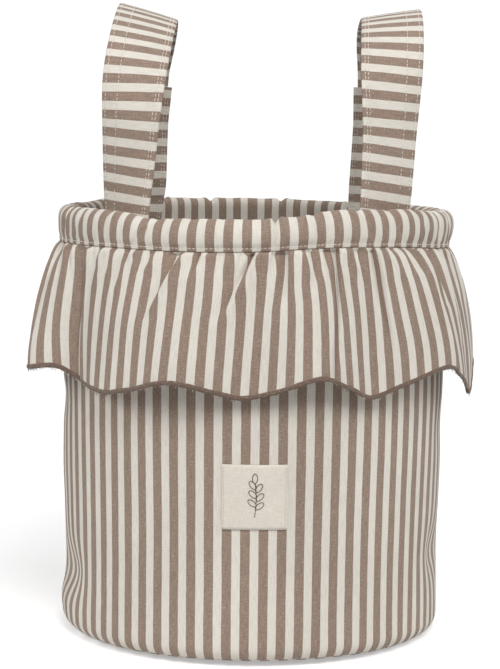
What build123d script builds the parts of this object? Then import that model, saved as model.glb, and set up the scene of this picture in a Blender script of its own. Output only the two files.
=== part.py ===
"""Laundry bag: a round, padded, striped fabric bucket with a ruffle and two strap loops.

Millimetres, +Z up. The origin is the centre of the flat base, on the surface that the bag
stands on. The front, with the label, faces -Y. The strap loops open with hook-and-loop tape,
so that the bag also hangs from a rail.
"""
from build123d import *
import math
import os

os.makedirs("parts", exist_ok=True)

# Driving dimensions
HEIGHT = 302.0            # floor to the top of the rim
RIM_RADIUS = 141.0        # outside of the padded rim band
BAND_HEIGHT = 22.0
BAND_DEPTH = 14.0         # rim band, inside face to outside face
BAND_ROUNDING = 6.5
WALL_RADIUS = 137.0       # outside of the wall
CORNER_RADIUS = 12.0      # rounded edge between wall and base
BASE_SEAM_ANGLE = 60.0    # where on that rounded edge the base disc is sewn on, from horizontal
FABRIC = 1.4              # outer cloth with its backing
WADDING = 5.8             # padding inside the wall and base
LINING = 1.2
LAYER_GAP = 0.1
SEAM_GAP = 0.3            # between the band and what is sewn under it

RUFFLE_DROP = 96.0        # band seam to hem
RUFFLE_TOP_RADIUS = 138.6
RUFFLE_HEM_RADIUS = 158.0
RUFFLE_CLOTH = 2.0
HEM_HEIGHT = 3.0
HEM_DEPTH = 3.6

LABEL_SIDE = 44.0
LABEL_THICKNESS = 0.8
LABEL_CENTRE = 117.5      # above the floor

STRAP_WIDTH = 43.0
STRAP_THICKNESS = 2.4
TAPE_WIDTH = 25.0         # standard hook-and-loop tape
TAPE_THICKNESS = 0.8
TAPE_GAP = 0.1            # tape to the strap it is sewn on
CLOSURE_GAP = 0.4         # hook tape to loop tape when closed
FOOT_ANGLE = 45.0         # the straps are sewn in this far round from front and back
FOOT_LENGTH = 20.0        # sewn end inside the band
FOOT_CLEARANCE = 0.2      # strap corners to the inside of the band
FOOT_GAP = 0.4            # sewn end to the part of the strap that moves
STRAP_START = 1.0         # moving part of each strap, above the rim
LEG_STRAIGHT = 57.0       # straight front leg, above the rim
LOOP_HEIGHT = 138.0       # top of the loop's centre line, above the rim
SHORT_STRAP_TOP = 86.5    # above the rim
TAIL_STRAIGHT = 88.0      # where the tail starts to arch, above the rim
TAIL_END = 14.0           # free end of the long strap, above the rim
HOOK_TAPE_BOTTOM = 12.0
LOOP_TAPE_BOTTOM = 12.0
TAPE_END_MARGIN = 2.5     # from a strap's free end

wall_top = HEIGHT - BAND_HEIGHT - SEAM_GAP
band_inner_radius = RIM_RADIUS - BAND_DEPTH

# A strap lies flat against the round inside of the band, so its corners set how far out it sits.
foot_corner_radius = band_inner_radius - FOOT_CLEARANCE
foot_outer_face = math.sqrt(foot_corner_radius**2 - (STRAP_WIDTH / 2) ** 2)
strap_radius = foot_outer_face - STRAP_THICKNESS / 2
closure_stack = STRAP_THICKNESS + 2 * (TAPE_THICKNESS + TAPE_GAP) + CLOSURE_GAP
tail_radius = strap_radius + closure_stack
tape_offset = STRAP_THICKNESS / 2 + TAPE_GAP + TAPE_THICKNESS / 2


def save(piece, name):
    """Labels a finished piece and writes it as its own STEP file."""
    piece.part.label = name
    export_step(piece.part, f"parts/{name}.step")


def bucket_profile(inset):
    """Half section of the bucket, drawn inside by the given distance, with its rounded lower corner."""
    radius = WALL_RADIUS - inset
    with BuildSketch(Plane.XZ, mode=Mode.PRIVATE) as half:
        with Locations((0, inset)):
            Rectangle(radius, wall_top - inset, align=(Align.MIN, Align.MIN))
        corner = half.vertices().group_by(Axis.X)[-1].sort_by(Axis.Y)[0]
        fillet(corner, CORNER_RADIUS - inset)
    return half.sketch


def layer_section(outer_inset, inner_inset):
    """Section of one layer of the bucket, wall and base together."""
    return bucket_profile(outer_inset) - bucket_profile(inner_inset)


def half_plane_above(height):
    """A large rectangle in the half section, above the given height."""
    with BuildSketch(Plane.XZ, mode=Mode.PRIVATE) as area:
        with Locations((0, height)):
            Rectangle(2 * WALL_RADIUS, 2 * HEIGHT, align=(Align.MIN, Align.MIN))
    return area.sketch


def base_seam_wedge():
    """Area of the half section that belongs to the base disc, below the seam on the rounded edge."""
    centre = (WALL_RADIUS - CORNER_RADIUS, CORNER_RADIUS)
    reach = 3 * CORNER_RADIUS
    angle = math.radians(BASE_SEAM_ANGLE)
    edge = (centre[0] + reach * math.cos(angle), centre[1] - reach * math.sin(angle))
    with BuildSketch(Plane.XZ, mode=Mode.PRIVATE) as wedge:
        with BuildLine():
            Polyline((-1, centre[1]), centre, edge, (-1, edge[1]), close=True)
        make_face()
    return wedge.sketch


# Outer cloth: the striped wall, and the striped base disc sewn into its rounded lower edge
outer_cloth = layer_section(0, FABRIC)
wall_section = outer_cloth - base_seam_wedge()
base_section = outer_cloth & base_seam_wedge()

with BuildPart() as outer_wall:
    add(wall_section)
    revolve(axis=Axis.Z)
save(outer_wall, "outer_wall")

with BuildPart() as outer_base:
    add(base_section)
    revolve(axis=Axis.Z)
save(outer_base, "outer_base")

# Wadding between cloth and lining, so that the bag stands by itself
wadding_outer = FABRIC + LAYER_GAP
wadding_inner = wadding_outer + WADDING
wadding = layer_section(wadding_outer, wadding_inner)
wall_wadding_section = wadding & half_plane_above(wadding_inner + LAYER_GAP)
base_wadding_section = wadding - half_plane_above(wadding_inner)

with BuildPart() as wall_padding:
    add(wall_wadding_section)
    revolve(axis=Axis.Z)
save(wall_padding, "wall_padding")

with BuildPart() as base_padding:
    add(base_wadding_section)
    revolve(axis=Axis.Z)
save(base_padding, "base_padding")

# Lining of the inside
lining_outer = wadding_inner + LAYER_GAP
lining_inner = lining_outer + LINING
lining = layer_section(lining_outer, lining_inner)
lining_wall_section = lining & half_plane_above(lining_inner + LAYER_GAP)
lining_base_section = lining - half_plane_above(lining_inner)

with BuildPart() as lining_wall:
    add(lining_wall_section)
    revolve(axis=Axis.Z)
save(lining_wall, "lining_wall")

with BuildPart() as lining_base:
    add(lining_base_section)
    revolve(axis=Axis.Z)
save(lining_base, "lining_base")


def band_section(inset):
    """Rounded section of the rim band, drawn inside by the given distance."""
    middle = (RIM_RADIUS - BAND_DEPTH / 2, HEIGHT - BAND_HEIGHT / 2)
    with BuildSketch(Plane.XZ, mode=Mode.PRIVATE) as section:
        with Locations(middle):
            RectangleRounded(
                BAND_DEPTH - 2 * inset,
                BAND_HEIGHT - 2 * inset,
                BAND_ROUNDING - inset,
            )
    return section.sketch


# Rim band: cloth folded round a thick roll of wadding
band_cloth_section = band_section(0) - band_section(FABRIC)
filler_section = band_section(FABRIC + LAYER_GAP)

with BuildPart() as rim_band:
    add(band_cloth_section)
    revolve(axis=Axis.Z)
save(rim_band, "rim_band")

with BuildPart() as rim_filler:
    add(filler_section)
    revolve(axis=Axis.Z)
save(rim_filler, "rim_filler")

# Ruffle: gathered into the seam under the band, flaring out to its overlocked hem
ruffle_bottom = wall_top - RUFFLE_DROP
hem_top = ruffle_bottom + HEM_HEIGHT
half_cloth = RUFFLE_CLOTH / 2

with BuildPart() as ruffle:
    with BuildSketch(Plane.XZ):
        with BuildLine():
            Polyline(
                (RUFFLE_TOP_RADIUS - half_cloth, wall_top),
                (RUFFLE_TOP_RADIUS + half_cloth, wall_top),
                (RUFFLE_HEM_RADIUS + half_cloth, hem_top),
                (RUFFLE_HEM_RADIUS - half_cloth, hem_top),
                close=True,
            )
        make_face()
    revolve(axis=Axis.Z)
save(ruffle, "ruffle")

with BuildPart() as ruffle_hem:
    with BuildSketch(Plane.XZ):
        with Locations((RUFFLE_HEM_RADIUS, ruffle_bottom + HEM_HEIGHT / 2)):
            Rectangle(HEM_DEPTH, HEM_HEIGHT - LAYER_GAP)
    revolve(axis=Axis.Z)
save(ruffle_hem, "ruffle_hem")

# Label: a square of canvas that follows the round wall
label_inner_radius = WALL_RADIUS + LAYER_GAP

with BuildPart() as label:
    with BuildSketch(Plane.XY.offset(LABEL_CENTRE - LABEL_SIDE / 2)):
        Circle(label_inner_radius + LABEL_THICKNESS)
        Circle(label_inner_radius, mode=Mode.SUBTRACT)
        with Locations((0, -WALL_RADIUS)):
            Rectangle(LABEL_SIDE, WALL_RADIUS, mode=Mode.INTERSECT)
    extrude(amount=LABEL_SIDE)
save(label, "label")


# Strap loops. Each is drawn for the right-hand side (+X) and mirrored for the left.
def foot_plane(direction, radius, height, offset=0.0):
    """Level plane at a strap's foot: local X runs along the rim, local Y points straight out of the bag.

    direction is -1 for the front foot and +1 for the back foot.
    """
    angle = math.radians(FOOT_ANGLE)
    outward = Vector(math.sin(angle), direction * math.cos(angle), 0)
    along = outward.cross(Vector(0, 0, 1))
    centre = outward * (radius + offset) + Vector(0, 0, HEIGHT + height)
    return Plane(origin=centre, x_dir=along, z_dir=Vector(0, 0, 1))


def arch_plane(degrees, offset=0.0):
    """Cross-section plane on the arch: 0 is the front spring, 90 the top, 180 the back spring.

    The strap is turned to the rim's direction at both springs and lies level at the top.
    offset moves the section out of the loop.
    """
    turn = math.radians(degrees)
    angle = math.radians(FOOT_ANGLE)
    front = Vector(math.sin(angle), -math.cos(angle), 0) * strap_radius
    back = Vector(math.sin(angle), math.cos(angle), 0) * tail_radius
    spring = LEG_STRAIGHT if degrees <= 90 else TAIL_STRAIGHT
    rise = LOOP_HEIGHT - spring
    share = (1 - math.cos(turn)) / 2
    height = HEIGHT + spring + rise * math.sin(turn)
    centre = front + (back - front) * share + Vector(0, 0, height)
    slope = (back - front) * (math.sin(turn) / 2) + Vector(0, 0, rise * math.cos(turn))
    tangent = slope.normalized()
    twist = angle * math.cos(turn) ** 2
    level = Vector(1, 0, 0) - tangent * tangent.X
    level = level.normalized()
    across = level * math.cos(twist) - level.cross(tangent) * math.sin(twist)
    outward = across.cross(tangent)
    return Plane(origin=centre + outward * offset, x_dir=across, z_dir=tangent)


def arch_span(first, last, size, offset=0.0, steps=6):
    """One stretch of the arch, lofted through evenly spaced sections of the given size."""
    with BuildPart(mode=Mode.PRIVATE) as span:
        for step in range(steps + 1):
            with BuildSketch(arch_plane(first + (last - first) * step / steps, offset)):
                Rectangle(*size)
        loft()
    return span.part


def straight_span(direction, radius, low, high, size, offset=0.0):
    """One straight upright stretch of strap or tape, between two heights above the rim."""
    with BuildPart(mode=Mode.PRIVATE) as span:
        with BuildSketch(foot_plane(direction, radius, low, offset)):
            Rectangle(*size)
        extrude(amount=high - low)
    return span.part


FRONT, BACK = -1, 1
strap = (STRAP_WIDTH, STRAP_THICKNESS)
tape = (TAPE_WIDTH, TAPE_THICKNESS)

# The long strap's front leg, up to the top of the loop
leg = straight_span(FRONT, strap_radius, STRAP_START, LEG_STRAIGHT, strap)
leg_arch = arch_span(0, 90, strap)
with BuildPart() as long_strap:
    add(leg)
    add(leg_arch)

# The long strap's tail, from the top of the loop down behind the short strap
tail_arch = arch_span(90, 180, strap)
tail_end = straight_span(BACK, tail_radius, TAIL_END, TAIL_STRAIGHT, strap)
with BuildPart() as strap_tail:
    add(tail_arch)
    add(tail_end)

# Loop tape along the inside of the long strap, in the same two stretches
leg_tape = straight_span(FRONT, strap_radius, LOOP_TAPE_BOTTOM, LEG_STRAIGHT, tape, -tape_offset)
leg_arch_tape = arch_span(0, 90, tape, -tape_offset)
with BuildPart() as loop_tape:
    add(leg_tape)
    add(leg_arch_tape)

tail_tape_low = TAIL_END + TAPE_END_MARGIN
tail_arch_tape = arch_span(90, 180, tape, -tape_offset)
tail_tape = straight_span(BACK, tail_radius, tail_tape_low, TAIL_STRAIGHT, tape, -tape_offset)
with BuildPart() as tail_loop_tape:
    add(tail_arch_tape)
    add(tail_tape)

# The short strap, and the hook tape on its outer side
short_length = straight_span(BACK, strap_radius, STRAP_START, SHORT_STRAP_TOP, strap)
with BuildPart() as short_strap:
    add(short_length)

hook_top = SHORT_STRAP_TOP - TAPE_END_MARGIN
hook_length = straight_span(BACK, strap_radius, HOOK_TAPE_BOTTOM, hook_top, tape, tape_offset)
with BuildPart() as hook_tape:
    add(hook_length)

# The sewn ends of both straps, inside the band
foot_top = STRAP_START - FOOT_GAP
foot_low = foot_top - FOOT_LENGTH
front_end = straight_span(FRONT, strap_radius, foot_low, foot_top, strap)
with BuildPart() as front_foot:
    add(front_end)

back_end = straight_span(BACK, strap_radius, foot_low, foot_top, strap)
with BuildPart() as back_foot:
    add(back_end)

strap_pieces = {
    "long_strap": long_strap,
    "strap_tail": strap_tail,
    "loop_tape": loop_tape,
    "tail_loop_tape": tail_loop_tape,
    "short_strap": short_strap,
    "hook_tape": hook_tape,
    "front_foot": front_foot,
    "back_foot": back_foot,
}
for name, piece in strap_pieces.items():
    save(piece, f"right_{name}")
    mirrored = mirror(piece.part, about=Plane.YZ)
    with BuildPart() as left_piece:
        add(mirrored)
    save(left_piece, f"left_{name}")
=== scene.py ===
import math
import random

import bmesh
import bpy
import numpy as np
from mathutils import Euler, Matrix, Vector, noise


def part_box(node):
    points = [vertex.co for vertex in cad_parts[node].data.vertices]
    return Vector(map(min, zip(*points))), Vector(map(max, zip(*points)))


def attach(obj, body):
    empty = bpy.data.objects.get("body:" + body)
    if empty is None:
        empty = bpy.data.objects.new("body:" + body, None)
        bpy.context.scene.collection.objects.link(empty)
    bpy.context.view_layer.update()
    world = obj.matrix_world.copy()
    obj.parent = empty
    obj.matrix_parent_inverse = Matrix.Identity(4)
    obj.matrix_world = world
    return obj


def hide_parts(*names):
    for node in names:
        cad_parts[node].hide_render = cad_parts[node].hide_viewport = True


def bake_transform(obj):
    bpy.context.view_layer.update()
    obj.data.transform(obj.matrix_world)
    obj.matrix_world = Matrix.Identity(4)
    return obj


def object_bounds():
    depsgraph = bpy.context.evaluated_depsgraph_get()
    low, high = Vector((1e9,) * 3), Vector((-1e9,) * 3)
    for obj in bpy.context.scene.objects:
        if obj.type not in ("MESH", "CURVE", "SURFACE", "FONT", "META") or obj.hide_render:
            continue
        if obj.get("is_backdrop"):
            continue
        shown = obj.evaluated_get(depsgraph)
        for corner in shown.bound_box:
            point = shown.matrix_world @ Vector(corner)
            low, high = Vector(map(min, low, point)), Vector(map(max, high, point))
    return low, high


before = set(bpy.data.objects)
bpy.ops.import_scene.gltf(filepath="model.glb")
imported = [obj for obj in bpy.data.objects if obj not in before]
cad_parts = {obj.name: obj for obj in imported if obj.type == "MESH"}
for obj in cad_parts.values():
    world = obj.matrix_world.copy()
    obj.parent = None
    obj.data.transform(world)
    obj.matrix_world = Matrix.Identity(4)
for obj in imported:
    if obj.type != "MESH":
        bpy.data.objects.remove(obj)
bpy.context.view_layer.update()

MM = 0.001

# ---------------------------------------------------------------- sizes from the frame
RIM_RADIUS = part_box("rim_band")[1].x
RIM_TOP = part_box("rim_band")[1].z
SEAM_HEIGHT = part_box("rim_band")[0].z
WALL_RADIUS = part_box("outer_wall")[1].x
WALL_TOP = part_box("outer_wall")[1].z
HEM_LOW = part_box("ruffle_hem")[0].z
LABEL_LOW, LABEL_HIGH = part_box("label")
FOOT_LOW, FOOT_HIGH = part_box("right_front_foot")
LOOP_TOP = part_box("right_long_strap")[1].z
TAIL_LOW, TAIL_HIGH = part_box("right_strap_tail")
SHORT_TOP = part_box("right_short_strap")[1].z
TAPE_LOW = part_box("right_loop_tape")[0].z
HOOK_LOW, HOOK_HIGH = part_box("right_hook_tape")

# ---------------------------------------------------------------- cloth sizes, in metres
STRIPE = 12.45 * MM           # one brown and one ecru stripe
CORNER = 12.0 * MM            # rounded edge between wall and base
BASE_SEAM = math.radians(54)  # where on it the base disc is sewn on
CLOTH = 1.4 * MM
WADDING = 5.8 * MM
LINING = 1.2 * MM
LAYER_GAP = 0.1 * MM
STRAP_WIDTH = 43.0 * MM
STRAP_THICKNESS = 2.4 * MM
TAPE_WIDTH = 25.0 * MM
TAPE_THICKNESS = 0.8 * MM
TAPE_SHIFT = 3.4 * MM         # the tape is sewn nearer the strap's inner edge
LEG_STRAIGHT = 57.0 * MM
TAIL_STRAIGHT = 88.0 * MM
HINGE_RISE = 3.0 * MM         # where the sewn back foot hands over to the short strap
FRONT_RISE = 18.0 * MM        # and the front one to the long strap, which bends over the rim
THREAD = 0.27 * MM            # radius of a stitch
STITCH = 3.0 * MM             # from one stitch to the next
STITCH_SEEN = 0.72            # share of that length where the thread is on top
SAME_POINT = 1e-6             # points this close are merged


def smooth_step(x):
    x = min(1.0, max(0.0, x))
    return x * x * (3 - 2 * x)


def round_spline(keys, degrees):
    """Smooth curve once round the bag through keys (angle in degrees, value), read at angles."""
    at = np.array([key[0] for key in keys], float)
    value = np.array([key[1] for key in keys], float)
    at = np.concatenate([at[-2:] - 360, at, at[:2] + 360])
    value = np.concatenate([value[-2:], value, value[:2]])
    slope = np.zeros_like(value)
    slope[1:-1] = (value[2:] - value[:-2]) / (at[2:] - at[:-2])
    x = (np.asarray(degrees, float) - at[2]) % 360 + at[2]
    k = np.clip(np.searchsorted(at, x, side="right") - 1, 0, len(at) - 2)
    gap = at[k + 1] - at[k]
    t = (x - at[k]) / gap
    return (
        (2 * t**3 - 3 * t**2 + 1) * value[k]
        + (t**3 - 2 * t**2 + t) * gap * slope[k]
        + (3 * t**2 - 2 * t**3) * value[k + 1]
        + (t**3 - t**2) * gap * slope[k + 1]
    )


def round_noise(angle, height, size, seed):
    """Smooth noise from -1 to 1 that joins up round the bag; size is its grain, in metres."""
    around = Vector((math.sin(angle), math.cos(angle), 0)) * (WALL_RADIUS / size)
    return noise.noise(around + Vector((seed, seed, height / size + seed)))


def polar(radius, angle, height):
    """A point of the bag: angle 0 is the front, and it grows towards +X."""
    return (radius * math.sin(angle), -radius * math.cos(angle), height)


def wrapped(angle):
    return (angle + math.pi) % (2 * math.pi) - math.pi


def column_angles(count):
    return [-math.pi + 2 * math.pi * j / count for j in range(count)]


def spaced(low, high, step):
    count = max(1, round(abs(high - low) / step))
    return [low + (high - low) * k / count for k in range(count + 1)]


# ---------------------------------------------------------------- mesh building
def in_scene(name, data):
    """A new object of the scene."""
    made = bpy.data.objects.new(name, data)
    bpy.context.scene.collection.objects.link(made)
    return made


class Patchwork:
    """Collects grids, caps and stitches, and makes one mesh of them."""

    def __init__(self):
        self.points, self.faces, self.uvs, self.slots = [], [], [], []

    def grid(self, points, u, v, wrap_rows=False, wrap_columns=False, slot=0):
        """A sheet of quads. u and v hold one more row or column than points where it wraps."""
        rows, columns = len(points), len(points[0])
        start = len(self.points)
        self.points.extend(p for row in points for p in row)
        for i in range(rows if wrap_rows else rows - 1):
            for j in range(columns if wrap_columns else columns - 1):
                below, right = (i + 1) % rows, (j + 1) % columns
                corners = ((i, j), (below, j), (below, right), (i, right))
                self.faces.append(tuple(start + a * columns + b for a, b in corners))
                flat = ((i, j), (i + 1, j), (i + 1, j + 1), (i, j + 1))
                self.uvs.extend((u[a][b], v[a][b]) for a, b in flat)
                self.slots.append(slot)
        return start

    def even_grid(self, points, across, along, **settings):
        """A grid whose cloth coordinates are the same down each column and along each row."""
        u, v = [across] * len(along), [[a] * len(across) for a in along]
        return self.grid(points, u, v, **settings)

    def cap(self, indices, uv, slot=0):
        """One flat face over a row of points, such as a strap's end."""
        self.faces.append(tuple(indices))
        self.uvs.extend([uv] * len(indices))
        self.slots.append(slot)

    def stitch(self, start, end, normal, slot=1, radius=THREAD):
        """One stitch: a short thread, fat in the middle, that dips into the cloth at both ends."""
        start, end, normal = Vector(start), Vector(end), Vector(normal)
        side = (end - start).cross(normal).normalized()
        spokes = [side * math.cos(k * math.pi / 3) + normal * math.sin(k * math.pi / 3) for k in range(6)]
        rings = []
        for share, fat, lift in ((0, 0.5, -0.5), (0.3, 1.0, 0.5), (0.7, 1.0, 0.5), (1, 0.5, -0.5)):
            centre = start.lerp(end, share) + normal * radius * lift
            rings.append([centre + spoke * radius * fat for spoke in spokes])
        u = [[share] * 7 for share in (0, 0.3, 0.7, 1)]
        v = [[k / 6 for k in range(7)]] * 4
        base = self.grid(rings, u, v, wrap_columns=True, slot=slot)
        self.cap([base + k for k in range(6)], (0, 0), slot)
        self.cap([base + 18 + k for k in reversed(range(6))], (1, 0), slot)

    def shift_stripes(self, phase):
        self.uvs = [(a - phase, b) for a, b in self.uvs]

    def build(self, name, materials, merge=False):
        """The piece's object, with its cloth coordinates in the UV layer Cloth."""
        mesh = bpy.data.meshes.new(name)
        mesh.from_pydata([tuple(p) for p in self.points], [], self.faces)
        layer = mesh.uv_layers.new(name="Cloth")
        layer.data.foreach_set("uv", np.array(self.uvs, np.float32).ravel())
        for material in materials:
            mesh.materials.append(material)
        mesh.polygons.foreach_set("material_index", self.slots)
        mesh.polygons.foreach_set("use_smooth", [True] * len(mesh.polygons))
        shape = bmesh.new()
        shape.from_mesh(mesh)
        if merge:
            bmesh.ops.remove_doubles(shape, verts=shape.verts, dist=SAME_POINT)
        bmesh.ops.recalc_face_normals(shape, faces=shape.faces)
        shape.to_mesh(mesh)
        shape.free()
        return in_scene(name, mesh)


def bag_piece(work, name, materials, node, merge=False):
    """Builds a piece that rides on the bag and stands for a CAD node."""
    piece = work.build(name, materials, merge)
    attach(piece, "bag")
    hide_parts(node)
    return piece


# ---------------------------------------------------------------- materials
class Nodes:
    """Short calls for a material's node tree."""

    def __init__(self, name):
        self.material = bpy.data.materials.new(name)
        self.material.use_nodes = True
        self.tree = self.material.node_tree
        self.shader = self.tree.nodes["Principled BSDF"]

    def node(self, kind, **settings):
        made = self.tree.nodes.new(kind)
        for key, value in settings.items():
            setattr(made, key, value)
        return made

    def link(self, source, target):
        self.tree.links.new(source, target)

    def feed(self, socket, value):
        if isinstance(value, (int, float, tuple)):
            socket.default_value = value
        else:
            self.link(value, socket)

    def math(self, operation, a, b=0.0, c=0.0):
        made = self.node("ShaderNodeMath", operation=operation)
        for socket, value in zip(made.inputs, (a, b, c)):
            self.feed(socket, value)
        return made.outputs[0]

    def weigh(self, a, share_a, b, share_b):
        """a times its share plus b times its own."""
        return self.math("MULTIPLY_ADD", a, share_a, self.math("MULTIPLY", b, share_b))

    def range(self, value, low, high, new_low=0.0, new_high=1.0):
        made = self.node("ShaderNodeMapRange", interpolation_type="SMOOTHSTEP")
        for socket, given in zip(made.inputs, (value, low, high, new_low, new_high)):
            self.feed(socket, given)
        return made.outputs[0]

    def mix(self, share, a, b):
        made = self.node("ShaderNodeMix", data_type="RGBA")
        self.feed(made.inputs[0], share)
        self.feed(made.inputs[6], a)
        self.feed(made.inputs[7], b)
        return made.outputs[2]

    def cloth(self):
        """The piece's own cloth coordinates, in metres: across the stripes, and along them."""
        split = self.node("ShaderNodeSeparateXYZ")
        self.link(self.node("ShaderNodeUVMap", uv_map="Cloth").outputs[0], split.inputs[0])
        return split.outputs[0], split.outputs[1]

    def noise(self, x, y, across, along, detail=3.0, roughness=0.5):
        """Noise on the cloth, with its own grain across and along, in metres."""
        place = self.node("ShaderNodeCombineXYZ")
        self.link(self.math("DIVIDE", x, across), place.inputs[0])
        self.link(self.math("DIVIDE", y, along), place.inputs[1])
        made = self.node("ShaderNodeTexNoise", noise_dimensions="2D")
        made.inputs["Scale"].default_value = 1.0
        made.inputs["Detail"].default_value = detail
        made.inputs["Roughness"].default_value = roughness
        self.link(place.outputs[0], made.inputs["Vector"])
        return made.outputs[0]

    def wave(self, value, length):
        """A sine along value, from 0 to 1."""
        turned = self.math("SINE", self.math("MULTIPLY", value, 2 * math.pi / length))
        return self.math("MULTIPLY_ADD", turned, 0.5, 0.5)

    def bump(self, height, strength, distance):
        made = self.node("ShaderNodeBump")
        made.inputs["Strength"].default_value = strength
        made.inputs["Distance"].default_value = distance
        self.link(height, made.inputs["Height"])
        self.link(made.outputs[0], self.shader.inputs["Normal"])

    def paint(self, colour):
        self.link(colour, self.shader.inputs["Base Color"])

    def finish(self, roughness, sheen=0.0, sheen_roughness=0.5):
        self.feed(self.shader.inputs["Roughness"], roughness)
        self.shader.inputs["Sheen Weight"].default_value = sheen
        self.shader.inputs["Sheen Roughness"].default_value = sheen_roughness
        self.shader.inputs["Specular IOR Level"].default_value = 0.25
        return self.material


def weave_height(n, x, y, thread):
    """Plain weave: warp and weft threads that pass over each other in turn."""
    warp = n.wave(x, thread * 2)
    weft = n.wave(y, thread * 2)
    over = n.math("MULTIPLY", n.math("SUBTRACT", warp, 0.5), n.math("SUBTRACT", weft, 0.5))
    return n.math("MULTIPLY_ADD", over, 2.0, 0.5)


def toned(colour, share):
    """A colour made darker or lighter."""
    return (*[c * share for c in colour[:3]], 1.0)


def striped_cotton(name, brown, ecru, painted_shade_span=None):
    """Yarn-dyed stripes in a plain weave, heathered where the brown yarn crosses the ecru weft.

    The optional last argument gives the stretch along the stripes over which the colour darkens to painted
    shade, for the shaded inner face of a folded cloth.
    """
    n = Nodes(name)
    x, y = n.cloth()
    drift = n.math("MULTIPLY_ADD", n.noise(x, y, 9 * MM, 26 * MM, 2.0), 0.5 * MM, -0.25 * MM)
    frayed = n.math("MULTIPLY_ADD", n.noise(x, y, 1.4 * MM, 0.7 * MM, 2.0), 0.30 * MM, -0.15 * MM)
    place = n.math("ADD", n.math("ADD", x, drift), frayed)
    repeat = n.math("FRACT", n.math("DIVIDE", place, STRIPE))
    in_brown = n.range(n.math("ABSOLUTE", n.math("SUBTRACT", repeat, 0.5)), 0.250, 0.276, 1.0, 0.0)
    weft_yarn = n.noise(x, y, 3.2 * MM, 0.5 * MM, 3.0, 0.7)
    warp_yarn = n.noise(x, y, 0.62 * MM, 9.0 * MM, 3.0, 0.7)
    slub = n.range(n.noise(x, y, 4.5 * MM, 0.55 * MM, 2.0, 0.6), 0.62, 0.78)
    fleck = n.weigh(weft_yarn, 0.55, warp_yarn, 0.45)
    brown_yarn = n.mix(n.range(fleck, 0.36, 0.64), toned(brown, 0.78), toned(brown, 1.22))
    brown_yarn = n.mix(n.math("MULTIPLY", slub, 0.42), brown_yarn, toned(ecru, 0.8))
    ecru_yarn = n.mix(n.range(warp_yarn, 0.36, 0.62), toned(ecru, 0.89), ecru)
    colour = n.mix(in_brown, ecru_yarn, brown_yarn)
    shade = n.range(n.noise(x, y, 60 * MM, 85 * MM, 3.0), 0.3, 0.7, 0.955, 1.02)
    # Painted shade: the colour darkens to 0.76 over the band's inner face, where shade falls inside the
    # opening
    if painted_shade_span:
        shade = n.math("MULTIPLY", shade, n.range(y, *painted_shade_span, 1.0, 0.76))
    tinted = n.node("ShaderNodeVectorMath", operation="SCALE")
    n.link(colour, tinted.inputs[0])
    n.link(shade, tinted.inputs["Scale"])
    n.paint(tinted.outputs[0])
    n.bump(n.weigh(weave_height(n, x, y, 0.42 * MM), 0.6, fleck, 0.8), 0.55, 0.22 * MM)
    return n.finish(n.range(fleck, 0.3, 0.7, 0.82, 0.94), sheen=0.12, sheen_roughness=0.6)


def plain_cloth(name, dark, light, thread):
    """Undyed or one-colour cloth: plain weave with uneven yarn."""
    n = Nodes(name)
    x, y = n.cloth()
    weft_yarn = n.noise(x, y, 14 * thread, 0.9 * thread, 2.0, 0.6)
    warp_yarn = n.noise(x, y, 0.9 * thread, 14 * thread, 2.0, 0.6)
    yarn = n.weigh(weft_yarn, 0.5, warp_yarn, 0.5)
    cloudy = n.noise(x, y, 18 * MM, 18 * MM, 3.0)
    n.paint(n.mix(n.weigh(cloudy, 0.3, n.range(yarn, 0.35, 0.65), 0.7), dark, light))
    n.bump(n.math("ADD", weave_height(n, x, y, thread), yarn), 0.5, 0.25 * MM)
    return n.finish(n.range(yarn, 0.3, 0.7, 0.80, 0.95), sheen=0.1)


def twisted_thread(name, dark, light, twist):
    """Sewing thread: slanted ply lines along each stitch."""
    n = Nodes(name)
    x, y = n.cloth()
    ply = n.wave(n.math("MULTIPLY_ADD", y, 0.5, x), twist)
    speckle = n.noise(x, y, twist * 0.6, twist * 0.6, 2.0)
    n.paint(n.mix(n.weigh(ply, 0.5, speckle, 0.5), dark, light))
    n.bump(ply, 0.4, 0.1 * MM)
    return n.finish(n.range(speckle, 0.3, 0.7, 0.7, 0.9), sheen=0.2)


def overlock_edge(name, dark, light):
    """Overlocked edge: close-set threads across the hem, with a ridge where they lock."""
    n = Nodes(name)
    x, y = n.cloth()
    wobble = n.math("MULTIPLY_ADD", n.noise(x, y, 2.5 * MM, 2.5 * MM, 2.0), 0.9 * MM, x)
    threads = n.wave(n.math("MULTIPLY_ADD", y, 0.35, wobble), 0.85 * MM)
    speckle = n.noise(x, y, 0.8 * MM, 0.5 * MM, 3.0, 0.65)
    share = n.weigh(threads, 0.45, speckle, 0.6)
    pale = n.range(n.noise(x, y, 2.2 * MM, 0.8 * MM, 3.0, 0.7), 0.60, 0.72)
    colour = n.mix(n.range(share, 0.25, 0.8), dark, light)
    colour = n.mix(n.math("MULTIPLY", pale, 0.5), colour, (0.62, 0.54, 0.46, 1.0))
    n.paint(colour)
    n.bump(share, 0.9, 0.45 * MM)
    return n.finish(n.range(speckle, 0.3, 0.7, 0.75, 0.95), sheen=0.2)


def felted(name, dark, light, grain, depth):
    """Brushed or felted fibres with no weave: wadding, loop tape, hook tape."""
    n = Nodes(name)
    x, y = n.cloth()
    fibres = n.noise(x, y, grain, grain, 5.0, 0.7)
    clumps = n.noise(x, y, grain * 7, grain * 7, 3.0)
    n.paint(n.mix(n.range(n.weigh(fibres, 0.6, clumps, 0.4), 0.3, 0.7), dark, light))
    n.bump(fibres, 0.8, depth * MM)
    return n.finish(n.range(fibres, 0.3, 0.7, 0.85, 0.98), sheen=0.25)


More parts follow.
